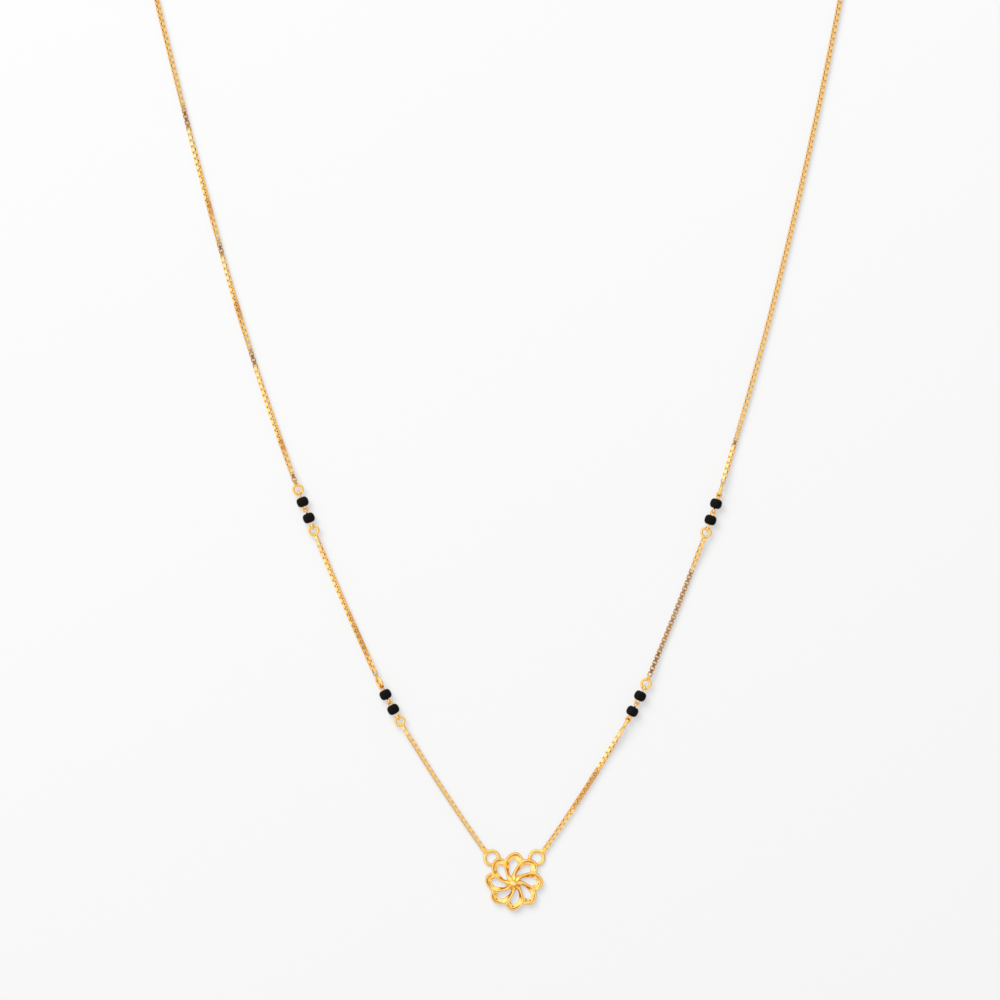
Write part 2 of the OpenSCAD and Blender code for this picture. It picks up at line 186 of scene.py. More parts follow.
def apply_modifier(shape: Shape, kind: str, **settings: object) -> None:
    """Adds a modifier, sets it up and applies it.

    Args:
        shape: The object that it works on.
        kind: Blender's name for the modifier's type.
        settings: The modifier's properties and their values.
    """
    pick(shape)
    modifier = shape.modifiers.new(kind.lower(), kind)
    for name, value in settings.items():
        setattr(modifier, name, value)
    bpy.ops.object.modifier_apply(modifier=modifier.name)


def subdivide_smoothly(shape: Shape, levels: int) -> None:
    """Rounds a mesh with an applied subdivision surface of a number of levels."""
    apply_modifier(shape, "SUBSURF", levels=levels, render_levels=levels)


def copy_of(shape: Shape, place: Matrix) -> Shape:
    """Copies an object with a mesh of its own, placed in that mesh.

    Args:
        shape: The object to copy.
        place: The transform that the copy's mesh takes.

    Returns:
        The new object, at the origin.
    """
    copy = shape.copy()
    copy.data = shape.data.copy()
    copy.data.transform(place)
    bpy.context.collection.objects.link(copy)
    return copy


def join(shapes: Sequence[Shape], name: str) -> Shape:
    """Joins objects into one.

    Args:
        shapes: The objects, of which the first takes in the others.
        name: The name of the result.

    Returns:
        The joined object.
    """
    pick(*shapes)
    if len(shapes) > 1:
        bpy.ops.object.join()
    shapes[0].name = name
    shapes[0].data.name = name
    return shapes[0]


def discard(shape: Shape) -> None:
    """Removes a template that has been copied."""
    mesh = shape.data
    bpy.data.objects.remove(shape)
    bpy.data.meshes.remove(mesh)


def to_metres(shape: Shape, smooth_angle: float) -> None:
    """Shades a finished piece smooth up to an angle and brings it from millimetres to metres.

    Args:
        shape: The piece, whose place is in its mesh.
        smooth_angle: The steepest edge, in degrees, that is shaded smooth.
    """
    pick(shape)
    bpy.ops.object.shade_smooth_by_angle(angle=math.radians(smooth_angle))
    shape.data.transform(Matrix.Scale(MM, 4))


def rotation(degrees: float, axis: str = "X") -> Matrix:
    """Gives the turn by an angle about an axis."""
    return Matrix.Rotation(math.radians(degrees), 4, axis)


def blend(amount: float) -> float:
    """Eases an amount from 0 to 1 with level ends."""
    held = min(max(amount, 0.0), 1.0)
    return held * held * (3 - 2 * held)


class Side(Enum):
    """The two sides of the necklace as they are seen from above."""

    RIGHT = 1
    LEFT = -1


@dataclass(frozen=True)
class Arc:
    """A stretch of a chain's route: its length, and how far it turns outwards in degrees."""

    length: float
    turn: float


@dataclass(frozen=True)
class Stance:
    """A point of a route and its heading there, in degrees outwards from +Y."""

    x: float
    y: float
    heading: float

    def after(self, length: float, turned: float) -> "Stance":
        """Walks along an arc.

        Args:
            length: The length of the arc.
            turned: How far the heading turns along it.

        Returns:
            The stance at its end.
        """
        half = math.radians(turned / 2)
        chord = length * math.sin(half) / half if half else length
        middle = math.radians(self.heading) + half
        return Stance(
            self.x + chord * math.sin(middle), self.y + chord * math.cos(middle), self.heading + turned
        )


@dataclass(frozen=True)
class Route:
    """The line of one side of the necklace on the table, from the flower to the clasp."""

    side: Side
    start: Stance
    arcs: tuple[Arc, ...]

    @property
    def length(self) -> float:
        """The length of the whole route."""
        return sum(arc.length for arc in self.arcs)

    def stance(self, distance: float) -> Stance:
        """Finds the point at a distance along the route.

        Args:
            distance: The distance from the flower's soldered link.

        Returns:
            The stance there, counted as if the side were the right one.
        """
        here = self.start
        for arc in self.arcs[:-1]:
            if distance <= arc.length:
                return here.after(distance, arc.turn * distance / arc.length)
            here = here.after(arc.length, arc.turn)
            distance -= arc.length
        last = self.arcs[-1]
        return here.after(distance, last.turn * distance / last.length)

    def place(self, distance: float, height: float, slope: float = 0.0) -> Matrix:
        """Gives the transform that sets a piece on the route.

        Args:
            distance: The distance along the route.
            height: The height above the table.
            slope: How far the piece's outer end is tilted up, in degrees.

        Returns:
            A transform whose +X points away from the flower.
        """
        here = self.stance(distance)
        move = Matrix.Translation((self.side.value * here.x, here.y, height))
        heading = rotation(90 - self.side.value * here.heading, "Z")
        return move @ heading @ rotation(-slope, "Y")


@dataclass(frozen=True)
class Loop:
    """Both routes, each closed by one plain arc that brings it to the clasp."""

    start: Stance = Stance(4.3, 4.45, 35.5)
    right_arcs: tuple[Arc, ...] = (
        Arc(21.5, -5.4), Arc(8.3, -7), Arc(22, -3), Arc(8.3, -2.9), Arc(36, -3.9), Arc(38.5, -2.7)
    )
    left_arcs: tuple[Arc, ...] = (
        Arc(21.5, -4.6), Arc(8.3, -6.1), Arc(22, -2.8), Arc(8.3, -1.7), Arc(36, -5), Arc(38.5, -1.9)
    )
    clasp_half: float = 4.48

    def closed(self) -> dict[Side, Route]:
        """Works out the closing arcs, so that both sides meet the clasp level and square to +Y.

        Returns:
            The route of each side.
        """
        right = self._edge(self.right_arcs)
        left = self._edge(self.left_arcs)
        right_rise = 1 + math.sin(math.radians(right.heading))
        left_rise = 1 + math.sin(math.radians(left.heading))
        right_run = math.cos(math.radians(right.heading))
        left_run = math.cos(math.radians(left.heading))
        span = right.x + left.x - 2 * self.clasp_half
        step = left.y - right.y
        left_radius = (span - right_run * step / right_rise) / (
            left_run + right_run * left_rise / right_rise
        )
        right_radius = (step + left_rise * left_radius) / right_rise
        right_arcs = (*self.right_arcs, self._last(right, right_radius))
        left_arcs = (*self.left_arcs, self._last(left, left_radius))
        return {
            Side.RIGHT: Route(Side.RIGHT, self.start, right_arcs),
            Side.LEFT: Route(Side.LEFT, self.start, left_arcs),
        }

    def _edge(self, arcs: tuple[Arc, ...]) -> Stance:
        """Walks all the arcs of a side.

        Args:
            arcs: The arcs, from the flower on.

        Returns:
            The stance at their end.
        """
        here = self.start
        for arc in arcs:
            here = here.after(arc.length, arc.turn)
        return here

    def _last(self, edge: Stance, radius: float) -> Arc:
        """Gives the arc of a radius that turns a side square to +Y."""
        turned = 90 + edge.heading
        return Arc(radius * math.radians(turned), -turned)


@dataclass(frozen=True)
class Heights:
    """How high the middle of each kind of piece lies above the table, and how the chains ramp to it."""

    chain: float = 0.38
    bead: float = 0.875
    clasp: float = 1.1
    hook: float = 0.88
    bead_ramp: float = 4.5
    clasp_ramp: float = 7.5


HEIGHTS = Heights()


@dataclass(frozen=True)
class BoxLink:
    """One link of the box chain, folded from flat strip."""

    size: float = 0.7
    length: float = 0.67
    strip_width: float = 0.42
    strip_thickness: float = 0.11
    fold: float = 0.07
    edge_round: float = 0.02
    pitch: float = 0.447

    def build(self) -> Shape:
        """Folds a link that stands in its own XZ plane.

        Returns:
            The link.
        """
        bpy.ops.mesh.primitive_cube_add(size=1)
        link = bpy.context.object
        with editing(link):
            select_all()
            grow((self.length, self.strip_width, self.size))
            select_faces(link, lambda centre, normal: abs(normal.y) > 0.9)
            bpy.ops.mesh.delete(type="FACE")
            select_edges(link, lambda a, b: abs(a.y - b.y) > self.strip_width / 2)
            bpy.ops.mesh.bevel(offset=self.fold, segments=1, affect="EDGES")
        apply_modifier(link, "SOLIDIFY", thickness=self.strip_thickness, offset=-1, use_even_offset=True)
        apply_modifier(
            link, "BEVEL", width=self.edge_round, segments=1,
            limit_method="ANGLE", angle_limit=math.radians(60),
        )
        return link

    def lift(self, roll: float) -> float:
        """Gives how much higher the chain's middle lies where it has rolled onto its edges.

        Args:
            roll: How far the chain has rolled, in degrees.

        Returns:
            The extra height.
        """
        tilt = math.radians(roll % 90)
        half, corner = self.size / 2, self.size / 2 - self.fold
        low = half * math.cos(tilt) + corner * math.sin(tilt)
        high = corner * math.cos(tilt) + half * math.sin(tilt)
        return max(low, high) - half


@dataclass(frozen=True)
class Stretch:
    """One stretch of box chain between two soldered links."""

    node: str
    side: Side
    start: float
    end: float
    links: int
    start_height: float
    end_height: float
    end_ramp: float
    rolls: tuple[tuple[float, float], ...]

    def height(self, distance: float) -> float:
        """Gives the height of the chain's middle.

        Args:
            distance: The distance along the route.

        Returns:
            The height above the table.
        """
        start_share = blend(1 - (distance - self.start) / HEIGHTS.bead_ramp)
        end_share = blend(1 - (self.end - distance) / self.end_ramp)
        start_rise = (self.start_height - HEIGHTS.chain) * start_share
        end_rise = (self.end_height - HEIGHTS.chain) * end_share
        return HEIGHTS.chain + start_rise + end_rise

    def roll(self, distance: float) -> float:
        """Gives how far the whole chain has rolled about itself.

        Args:
            distance: The distance along the route.

        Returns:
            The roll in degrees.
        """
        before = self.rolls[0]
        for after in self.rolls[1:]:
            if distance <= after[0]:
                share = (distance - before[0]) / (after[0] - before[0])
                return before[1] + (after[1] - before[1]) * share
            before = after
        return before[1]

    def build(self, box_link: BoxLink, link: Shape, route: Route, play: random.Random) -> Shape:
        """Threads the stretch, each link a quarter turn from the one before.

        Args:
            box_link: The link's sizes.
            link: The link to copy.
            route: The route of this side.
            play: The small looseness of each link.

        Returns:
            The stretch as one object.
        """
        pitch = (self.end - self.start) / self.links
        step = pitch / 2
        copies = []
        for number in range(1, self.links):
            distance = self.start + number * pitch
            rise = self.height(distance + step) - self.height(distance - step)
            slope = math.degrees(math.atan2(rise, pitch))
            twist = self.roll(distance)
            roll = 90 * (number % 2) + twist + play.uniform(-ROLL_PLAY, ROLL_PLAY)
            place = route.place(distance, self.height(distance) + box_link.lift(twist), slope)
            copies.append(copy_of(link, place @ rotation(roll)))
        return join(copies, f"{self.node}_links")


@dataclass(frozen=True)
class SolderedRing:
    """A round ring with a web of solder that narrows to the last link of a chain."""

    radius: float = 0.645
    wire: float = 0.41
    reach: float = 1.1
    link_half: float = 0.35
    rise: float = 0.0
    overrun: float = 0.0
    web_from: float = 0.47
    web_thickness: float = 0.36
    web_steps: tuple[tuple[float, float], ...] = ((0.3, 0.42), (0.55, 0.48), (0.8, 0.56), (1.0, 0.66))
    solder_steps: tuple[tuple[float, float], ...] = ((0.33, 0.34), (0.32, 0.33), (0.24, 0.24))
    solder_run: float = 0.14
    solder_end: float = 0.08
    plain_end: tuple[float, float] = (0.8, 0.5)

    def build(self) -> Shape:
        """Makes a ring that lies in its own XY plane with its web towards -X.

        Returns:
            The ring.
        """
        bpy.ops.mesh.primitive_torus_add(
            major_radius=self.radius, minor_radius=self.wire / 2, major_segments=48, minor_segments=20
        )
        return join([bpy.context.object, self._web()], "ring")

    def on_link(self, ring: Shape, link: Shape, place: Matrix, roll: float, lean: float = 0.0) -> Shape:
        """Solders a copy of the ring to a copy of a chain's last link.

        Args:
            ring: The ring to copy.
            link: The link to copy.
            place: The link's place, with its +X towards the ring.
            roll: How far the ring is rolled about the chain, in degrees.
            lean: The same for the link.

        Returns:
            Both as one object.
        """
        rolled = Matrix.Translation((self.reach, 0, 0)) @ rotation(roll)
        return join([copy_of(ring, place @ rolled), copy_of(link, place @ rotation(lean))], "ring")

    def _web(self) -> Shape:
        """Draws the web out of the ring's wire, as wide as the ring at first and as the link at last.

        Returns:
            The web.
        """
        corner = (self.radius + self.wire / 2) * math.sqrt(2)
        at, last = corner * self.web_from, corner - self.link_half
        climb = self.rise / (last - at)
        wide, thick = corner - at, self.wire * self.web_thickness
        sections = [
            (at + (last - at) * share, corner - at - (last - at) * share, self.wire * thickness)
            for share, thickness in self.web_steps
        ]
        if self.overrun:
            runs = (self.solder_run, self.overrun - self.solder_end, self.overrun)
            sections += [(last + run, *size) for run, size in zip(runs, self.solder_steps)]
        else:
            width, thickness = self.plain_end
            sections.append((last + self.solder_run, self.link_half * width, self.wire * thickness))
        bpy.ops.mesh.primitive_circle_add(vertices=16, radius=1, fill_type="NGON")
        web = bpy.context.object
        with editing(web):
            select_all()
            turn(90, "Y")
            grow((1, wide, thick))
            shift((-at, 0, 0))
            height = 0.0
            for next_at, next_wide, next_thick in sections:
                lift = (next_at - at) * climb
                height += lift
                extrude((at - next_at, 0, lift))
                grow((1, next_wide / wide, next_thick / thick), (-next_at, 0, height))
                at, wide, thick = next_at, next_wide, next_thick
        subdivide_smoothly(web, 2)
        return web


@dataclass(frozen=True)
class WireLink:
    """A closed link of thin wire that runs through a bead and opens into an eye at each end."""

    half_length: float = 1.3975
    wire: float = 0.28
    eye_radius: float = 0.37
    strand_in: float = 0.156
    pinch_half: float = 0.7
    cuts: tuple[float, ...] = (-0.92, -0.75, -0.58, -0.38, -0.19, 0.19, 0.38, 0.58, 0.75, 0.92)

    def build(self, turn_in: float, turn_out: float) -> Shape:
        """Bends the link along X.

        Args:
            turn_in: How far its inner eye is turned about X, in degrees.
            turn_out: The same for its outer eye.

        Returns:
            The link.
        """
        eye_at = self.half_length + self.wire / 2 - self.eye_radius
        bpy.ops.mesh.primitive_torus_add(
            major_radius=self.eye_radius, minor_radius=self.wire / 2, major_segments=24, minor_segments=12
        )
        link = bpy.context.object
        with editing(link):
            select_points(link, lambda p: p.x > NEAR)
            shift((eye_at, 0, 0))
            select_points(link, lambda p: p.x < -NEAR)
            shift((-eye_at, 0, 0))
            for share in self.cuts:
                select_all()
                bpy.ops.mesh.bisect(plane_co=(share * eye_at, 0, 0), plane_no=(1, 0, 0), threshold=TOUCHING)
            for share in (0.0, *self.cuts):
                pinched = blend((abs(share) * eye_at - self.pinch_half) / (eye_at - self.pinch_half))
                inward = (self.eye_radius - self.strand_in) * (1 - pinched)
                for hand in (1, -1):
                    select_points(
                        link, lambda p: abs(p.x - share * eye_at) < NEAR and p.y * hand > self.wire / 8
                    )
                    shift((0, -hand * inward, 0))
            steps = sorted((0.0, *self.cuts))
            for share in steps:
                part = blend((share * eye_at / self.pinch_half + 1) / 2)
                select_points(link, lambda p: abs(p.x - share * eye_at) < NEAR)
                turn(turn_in + (turn_out - turn_in) * part, "X")
            select_points(link, lambda p: p.x > steps[-1] * eye_at + NEAR)
            turn(turn_out, "X")
            select_points(link, lambda p: p.x < steps[0] * eye_at - NEAR)
            turn(turn_in, "X")
        subdivide_smoothly(link, 1)
        return link


@dataclass(frozen=True)
class Bead:
    """A black barrel bead, drilled along its own X."""

    diameter: float = 1.75
    length: float = 1.4
    bore: float = 0.78
    shoulder: float = 0.58
    mouth: float = 0.05

    def build(self) -> Shape:
        """Spins the bead's section round its hole.

        Returns:
            The bead.
        """
        wall = (self.diameter - self.bore) / 2
        middle = (self.diameter + self.bore) / 4
        bpy.ops.mesh.primitive_plane_add(size=1, location=ORIGIN)
        bead = bpy.context.object
        with editing(bead):
            select_all()
            grow((self.length, wall, 1))
            shift((0, middle, 0))
            select_points(bead, lambda p: p.y > middle)
            bpy.ops.mesh.bevel(offset=self.shoulder, segments=6, affect="VERTICES")
            select_points(bead, lambda p: p.y < self.bore / 2 + NEAR)
            bpy.ops.mesh.bevel(offset=self.mouth, segments=2, affect="VERTICES")
            select_all()
            bpy.ops.mesh.delete(type="ONLY_FACE")
            select_all()
            bpy.ops.mesh.spin(steps=40, angle=math.tau, center=ORIGIN, axis=(1, 0, 0))
            close_doubles()
        subdivide_smoothly(bead, 1)
        return bead


@dataclass(frozen=True)
class BeadPair:
    """Two rings, two wire links and two beads that join two stretches of chain."""

    side: Side
    level: str
    start: float
    rolls: tuple[float, float, float, float, float, float]
    ring: SolderedRing = SolderedRing()
    wire_link: WireLink = WireLink()
    slack: float = 0.0
    link_lean: float = 8.0
    pair_length: float = 6.38
    gap: float = 0.03
    bead_at: float = 1.94

    @property
    def length(self) -> float:
        """The distance between the soldered links at the pair's two ends."""
        return self.pair_length + 2 * self.ring.reach - self.slack

    @property
    def ring_slack(self) -> float:
        """The share of the slack that lies at each ring; the rest lies where the two wire links meet."""
        return self.slack / 9

    @property
    def link_at(self) -> float:
        """The distance from the middle of a ring to the middle of the wire link that it holds."""
        return self.ring.radius - self.ring.wire / 2 - self.gap + self.wire_link.half_length

    def build(self, link: Shape, ring: Shape, bead: Shape, route: Route) -> list[tuple[str, Shape]]:
        """Sets out the pair's six pieces.

        Args:
            link: The box link that each ring is soldered to.
            ring: The ring to copy.
            bead: The bead to copy.
            route: The route of this side.

        Returns:
            Each node's name and the piece that stands for it.
        """
        inner_roll, link_in, link_out, outer_in, outer_out, outer_roll = self.rolls
        end = self.start + self.length
        link_reach = self.ring.reach + self.link_at - self.ring_slack
        bead_reach = self.ring.reach + self.bead_at - self.ring_slack
        inner = route.place(self.start, HEIGHTS.bead)
        outer = route.place(end, HEIGHTS.bead) @ rotation(180, "Z")
        lean = self.link_lean * self.side.value
        pieces = [
            ("inner_ring", self.ring.on_link(ring, link, inner, inner_roll, lean)),
            ("outer_ring", self.ring.on_link(ring, link, outer, outer_roll, lean)),
            ("inner_link", self._wire(link_in, link_out, route, self.start + link_reach)),
            ("outer_link", self._wire(outer_in, outer_out, route, end - link_reach)),
            ("inner_bead", copy_of(bead, route.place(self.start + bead_reach, HEIGHTS.bead))),
            ("outer_bead", copy_of(bead, route.place(end - bead_reach, HEIGHTS.bead))),
        ]
        prefix = f"{self.side.name.lower()}_{self.level}"
        return [(f"{prefix}_{name}", piece) for name, piece in pieces]

    def _wire(self, turn_in: float, turn_out: float, route: Route, distance: float) -> Shape:
        """Bends a wire link and sets it on the route.

        Args:
            turn_in: How far its inner eye is turned about the route, in degrees.
            turn_out: The same for its outer eye.
            route: The route of this side.
            distance: Where the link's middle lies along it.

        Returns:
            The link.
        """
        wire = self.wire_link.build(turn_in, turn_out)
        wire.data.transform(route.place(distance, HEIGHTS.bead))
        return wire


@dataclass(frozen=True)
class Clasp:
    """The plain S hook behind the neck and the two rings that it holds."""

    hook_wire: float = 0.7
    bend_radius: float = 1.1
    arm: float = 2.0
    tip: float = 1.1
    cross_share: tuple[float, float] = (0.55, 0.75)
    tip_steps: tuple[tuple[float, float], ...] = ((0.5, 0.85), (0.3, 0.6), (0.1, 0.4))
    ring: SolderedRing = SolderedRing(radius=0.85, wire=0.5, reach=1.3)

    def build_hook(self, middle: Stance) -> Shape:
        """Bends the hook flat round a middle point.

        Args:
            middle: The middle of the hook on the table.

        Returns:
            The hook.
        """
        half = self._half_hook()
        hook = join([half, copy_of(half, rotation(180, "Z"))], "s_hook_wire")
        with editing(hook):
            close_doubles()
        subdivide_smoothly(hook, 1)
        hook.data.transform(Matrix.Translation((middle.x, middle.y, HEIGHTS.hook)))
        return hook

    def _half_hook(self) -> Shape:
        """Spins one bend of the hook and draws its two ends out.

        Returns:
            The half of the hook that lies towards +X.
        """
        bpy.ops.mesh.primitive_circle_add(vertices=12, radius=self.hook_wire / 2, fill_type="NOTHING")
        half = bpy.context.object
        cross = self.arm * self.cross_share[0], -self.bend_radius * self.cross_share[1]
        lean = math.degrees(math.atan2(cross[1], cross[0]))
        with editing(half):
            select_all()
            turn(90, "Y")
            shift((self.arm, self.bend_radius, 0))
            bpy.ops.mesh.spin(steps=12, angle=math.pi, center=(self.arm, 0, 0), axis=(0, 0, 1))
            extrude((cross[0] - self.arm, cross[1] + self.bend_radius, 0))
            turn(lean / 2, "Z", (cross[0], cross[1], 0))
            extrude((-cross[0], -cross[1], 0))
            turn(lean / 2)
            select_edges(
                half,
                lambda a, b: a.y > self.bend_radius * 0.2
                and max(abs(a.x - self.arm), abs(b.x - self.arm)) < NEAR,
                rims=True,
            )
            extrude((-self.tip, 0, 0))
            for reach, width in self.tip_steps:
                extrude((-self.hook_wire / 2 * reach, 0, 0))
                grow((1, width, width), (self.arm - self.tip, self.bend_radius, 0))
            bpy.ops.mesh.edge_face_add()
        return half

    def build_ring(self, link: Shape, ring: Shape, route: Route) -> Shape:
        """Solders a clasp ring, standing on edge, to the end of a chain.

        Args:
            link: The box link that it is soldered to.
            ring: The ring to copy.
            route: The route of this side.

        Returns:
            The ring with its link.
        """
        return self.ring.on_link(ring, link, route.place(route.length, HEIGHTS.clasp), 90)


@dataclass(frozen=True)
class StrapRow:
    """One section of a petal's strap: its outer rim and the edge of the opening that it goes round."""

    rim_x: float
    rim_y: float
    edge_x: float
    edge_y: float

    def numbers(self) -> Vector:
        """Gives the row as one vector, so that rows can be blended."""
        return Vector((self.rim_x, self.rim_y, self.edge_x, self.edge_y))


@dataclass(frozen=True)
class StrapLine:
    """A line along a strap: how far in it lies, and its heights at the hub, the arm and the tip."""

    inward: float
    hub: float
    arm: float
    tip: float
    scoop: float = 0.0


@dataclass(frozen=True)
class FlowerPendant:
    """The cast flower of eight turned petals, with its dome, its two ears and their solder necks."""

    petals: int = 8
    radius: float = 4.25
    rows: tuple[StrapRow, ...] = (
        StrapRow(0.4200, 0.9100, 0.9405, 0.3465),
        StrapRow(1.00, 1.13, 1.17, 0.60),
        StrapRow(1.60, 1.28, 1.60, 0.72),
        StrapRow(2.28, 1.41, 2.10, 0.73),
        StrapRow(2.76, 1.43, 2.50, 0.70),
        StrapRow(3.20, 1.32, 2.82, 0.62),
        StrapRow(3.64, 1.00, 3.08, 0.43),
        StrapRow(4.02, 0.52, 3.26, 0.20),
        StrapRow(4.24, -0.05, 3.31, -0.06),
        StrapRow(4.14, -0.65, 3.20, -0.30),
        StrapRow(3.80, -1.02, 2.97, -0.46),
        StrapRow(3.46, -1.23, 2.74, -0.58),
    )
    lines: tuple[StrapLine, ...] = (
        StrapLine(0.00, 0.70, 0.60, 0.60),
        StrapLine(0.03, 0.80, 0.84, 0.84),
        StrapLine(0.14, 0.94, 0.97, 0.96),
        StrapLine(0.25, 1.04, 0.93, 0.91),
        StrapLine(0.31, 1.05, 0.86, 0.74, 0.3),
        StrapLine(0.49, 1.00, 0.74, 0.545, 0.7),
        StrapLine(0.76, 0.86, 0.61, 0.565, 1.0),
        StrapLine(1.00, 0.70, 0.50, 0.475, 1.0),
    )
    row_step: float = 0.5
    arm_from: float = 0.8
    tip_from: float = 5.0
    tip_blend: float = 1.5
    seat_height: float = 0.86
    scoop_at: float = 8.35
    scoop_rises: tuple[float, float] = (0.12, 0.25)
    scoop_reach: float = 2.0
    seat: tuple[float, float] = (3.0, 5.0)
    rim_width: float = 0.35
    rim_crease: float = 0.6
    hub_spread: float = 0.4
    hub_blend: float = 1.5
    hub_clear: float = 2.0
    meeting_reach: float = 0.75
    hub_reach: float = 1.3
    hub_top: float = 1.5
    hub_steps: tuple[tuple[float, float], ...] = ((0.74, 0.8), (0.6, 0.7))
    dome_shift: tuple[float, float] = (-0.06, -0.28)
    dome_radius: float = 0.64
    dome_base: float = 0.8
    dome_height: float = 1.56
    facets: tuple[tuple[float, float, float], ...] = (
        (-90, 1.4, 0.6), (152, 28, 0.6), (28, 28, 0.605), (242, 30, 0.61), (-58, 50, 0.585),
        (195, 52, 0.6), (100, 46, 0.61), (-12, 56, 0.59), (-100, 52, 0.61), (55, 50, 0.61),
    )
    ear_at: tuple[float, float] = (3.27, 3.4)
    ear_height: float = 0.29
    ear_ring: SolderedRing = SolderedRing(
        radius=1.01, wire=0.53, reach=1.467, rise=0.09, overrun=0.62
    )
    link_at: tuple[float, float] = (4.3, 4.45)
    link_roll: float = 13.0

    @property
    def stations(self) -> list[float]:
        """The rows of the strap's table at which its sections stand.

        Returns:
            The rows, with one to each line of the strap where it seats its neighbour.
        """
        first, last = self.seat
        count = len(self.lines) - 1
        tips = int((len(self.rows) - 1 - last) / self.row_step)
        seat = [first + (last - first) * number / count for number in range(count + 1)]
        arm = [self.row_step * number for number in range(int(first / self.row_step))]
        tip = [last + self.row_step * number for number in range(1, tips + 1)]
        return arm + seat + tip

    def row_at(self, place: float) -> StrapRow:
        """Finds a section between the rows of the table on a smooth curve through them.

        Args:
            place: The row, which may have a fraction.

        Returns:
            The section there.
        """
        last = len(self.rows) - 1
        number = min(int(place), last - 1)
        share = place - number
        a, b, c, d = (self.rows[min(max(number + step, 0), last)].numbers() for step in (-1, 0, 1, 2))
        curve = 2 * b + (c - a) * share + (2 * a - 5 * b + 4 * c - d) * share**2
        curve += (3 * b - a - 3 * c + d) * share**3
        return StrapRow(*(0.5 * curve))

    def build(self, link: Shape, loop: dict[Side, Route]) -> Shape:
        """Casts the whole pendant.

        Args:
            link: The box link that is soldered to each ear.
            loop: The two routes, which start at those links.

        Returns:
            The pendant as one object.
        """
        flower = self._flower(self._strap())
        parts = [flower, self._dome()]
        ear = self._ear()
        for side, route in loop.items():
            mirror = Matrix.Scale(side.value, 4, (1, 0, 0))
            parts.append(copy_of(ear, mirror))
            parts.append(copy_of(link, route.place(0, HEIGHTS.chain) @ rotation(self.link_roll)))
        discard(ear)
        pendant = join(parts, "flower_pendant_cast")
        with editing(pendant):
            select_all()
            bpy.ops.mesh.normals_make_consistent(inside=False)
        return pendant

    def _strap(self) -> Shape:
        """Shapes one petal's strap from a flat sheet, open where it meets its neighbours.

        Returns:
            The strap of the petal that points along +X.
        """
        rows = len(self.stations)
        lines = len(self.lines)
        far = 100
        bpy.ops.mesh.primitive_grid_add(x_subdivisions=rows - 1, y_subdivisions=lines - 1, size=2)
        strap = bpy.context.object
        with editing(strap):
            select_all()
            shift((1, 1, 0))
            grow(((rows - 1) / 2, (lines - 1) / 2, 1))
            shift((far, 0, 0))
            for number, line in enumerate(self.lines):
                for along, station in enumerate(self.stations):
                    point = Vector((far + along, number, 0))
                    select_points(strap, lambda p: (p - point).length < TOUCHING)
                    shift((0, line.inward - number, self._height(station, line)))
            for along, station in enumerate(self.stations):
                self._place_row(strap, far + along, station)
            select_all()
            extrude()
            grow((1, 1, 0))
            select_all()
            bpy.ops.mesh.normals_make_consistent(inside=False)
            self._open_ends(strap)
        return strap

    def _height(self, station: float, line: StrapLine) -> float:
        """Gives the height of a line of the strap where it stands at a station.

        Args:
            station: The row of the strap's table, with its fraction.
            line: The line.

        Returns:
            The height above the flower's back.
        """
        tipwards = blend((station - self.tip_from) / self.tip_blend)
        height = line.hub + (line.arm - line.hub) * blend(station / self.arm_from)
        if line.inward == 0:
            first, last = self.seat
            before, beyond = (station - first) / self.row_step, (last - station) / self.row_step
            height += (self.seat_height - height) * (blend(before + 1) * blend(beyond + 1))
        height += (line.tip - height) * tipwards
        away = abs(station - self.scoop_at) / self.scoop_reach
        rise = self.scoop_rises[0] if station < self.scoop_at else self.scoop_rises[1]
        return height + line.scoop * rise * away**2 * tipwards

    def _place_row(self, strap: Shape, at: float, station: float) -> None:
        """Moves one row of the flat sheet to its section of the petal.

        Args:
            strap: The sheet, open in edit mode.
            at: Where the row stands along the sheet.
            station: The row of the strap's table that it goes to.
        """
        row = self.row_at(station)
        across = Vector((row.edge_x - row.rim_x, row.edge_y - row.rim_y))
        inner = self.rim_width
        rim = inner * (1 + self.hub_spread * blend(1 - station / self.hub_blend))
        select_points(strap, lambda p: abs(p.x - at) < 0.1 and p.y > inner - TOUCHING)
        grow((1, (across.length - rim) / (1 - inner), 1), (at, inner, 0))
        select_points(strap, lambda p: abs(p.x - at) < 0.1 and p.y < inner - TOUCHING)
        grow((1, rim / inner, 1), (at, 0, 0))
        select_points(strap, lambda p: abs(p.x - at) < 0.1 and p.y > inner - TOUCHING)
        shift((0, rim - inner, 0))
        select_points(strap, lambda p: abs(p.x - at) < 0.1)
        turn(math.degrees(math.atan2(across.y, across.x)) - 90, "Z", (at, 0, 0))
        shift((row.rim_x - at, row.rim_y, 0))

    def _open_ends(self, strap: Shape) -> None:
        """Takes away the strap's two end walls, and the stretch of outer wall that its neighbour meets.

        Args:
            strap: The strap, open in edit mode.
        """
        first, last = self.row_at(0), self.row_at(self.stations[-1])
        ends = [
            (Vector((row.rim_x, row.rim_y)), Vector((row.edge_x, row.edge_y))) for row in (first, last)
        ]
        seats = [row for row in self.stations if self.seat[0] <= row <= self.seat[1]]
        rims = [Vector((self.row_at(row).rim_x, self.row_at(row).rim_y)) for row in seats]
        walls = [(a + b) / 2 for a, b in zip(rims, rims[1:])]

